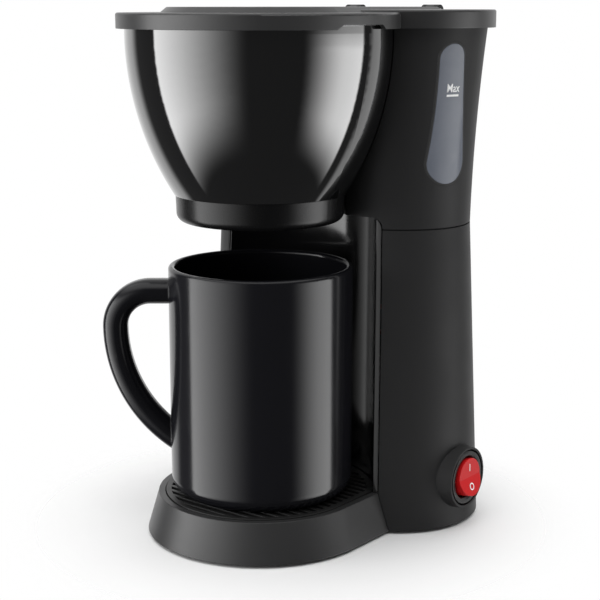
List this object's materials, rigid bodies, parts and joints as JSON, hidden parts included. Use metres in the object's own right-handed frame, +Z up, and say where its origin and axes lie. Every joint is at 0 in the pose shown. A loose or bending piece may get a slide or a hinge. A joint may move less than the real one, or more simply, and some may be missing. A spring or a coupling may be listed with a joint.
{
  "type": "drip coffee maker",
  "caption": "Drip coffee maker with a round funnel head over a mug, a waisted tank tower with a level window, a flip lid and a rocker switch.",
  "frame": {"origin": "on the counter under the middle of the machine", "axes": "+Z up, the mug's side faces -Y, the switch and the level window are on +X"},
  "size_m": [0.1577, 0.1707, 0.2438],
  "materials": {
    "charcoal_plastic": "matte, fine grain",
    "lid_plastic": "satin",
    "gloss_black_plastic": "high gloss",
    "satin_black_plastic": "satin",
    "window_clear": "clear, slightly blue",
    "black_rubber": "matte",
    "filter_plastic": "satin",
    "filter_steel": "fine mesh",
    "steel": "bright",
    "tank_plastic": "satin",
    "silicone": "milky",
    "aluminium": "cast",
    "white_plastic": "plain",
    "red_plastic": "semi-translucent gloss",
    "brass": "plain",
    "wire_rubber": "insulated",
    "black_glaze": "black gloss glaze on stoneware"
  },
  "bodies": {
    "machine": {"base_tray": "charcoal_plastic", "bottom_cover": "charcoal_plastic", "check_valve": "tank_plastic", "cord_gland": "black_rubber", "cover_screws": "steel", "filter_frame": "filter_plastic", "filter_mesh": "filter_steel", "front_panel": "gloss_black_plastic", "funnel_bowl": "gloss_black_plastic", "funnel_ring": "satin_black_plastic", "heater_block": "aluminium", "heater_element": "steel", "heater_posts": "steel", "heater_screws": "steel", "heater_tube": "aluminium", "hinge_pins": "steel", "hose_clamps": "steel", "inlet_hose_lower": "silicone", "inlet_hose_upper": "silicone", "lower_housing": "charcoal_plastic", "outlet_hose": "silicone", "riser_seal": "silicone", "riser_tube": "tank_plastic", "rubber_feet": "black_rubber", "shower_head": "tank_plastic", "spout_arm": "tank_plastic", "switch_body": "gloss_black_plastic", "switch_terminals": "brass", "terminal_block": "white_plastic", "thermal_fuse": "white_plastic", "thermostat": "steel", "upper_housing": "charcoal_plastic", "valve_insert": "silicone", "window_gasket": "black_rubber", "window_lens": "window_clear", "wires": "wire_rubber"},
    "lid": {"lid": "lid_plastic"},
    "switch_rocker": {"rocker": "red_plastic"},
    "grate": {"drip_grate": "charcoal_plastic"},
    "mug": {"mug": "black_glaze"}
  },
  "joints": [
    {"name": "lid_hinge", "type": "hinge", "parent": "machine", "child": "lid", "pos_m": [0, 0.0822, 0.2406], "axis": [-1, 0, 0], "range_deg": [0, 95]},
    {"name": "rocker_tilt", "type": "hinge", "parent": "machine", "child": "switch_rocker", "pos_m": [0.0745, 0.0387, 0.024], "axis": [0, 1, 0], "range_deg": [0, 18]},
    {"name": "grate_lift", "type": "slide", "parent": "machine", "child": "grate", "axis": [0, 0, 1], "range_m": [0, 0.012]},
    {"name": "mug_slide", "type": "slide", "parent": "grate", "child": "mug", "axis": [0, -1, 0], "range_m": [0, 0.16]}
  ]
}
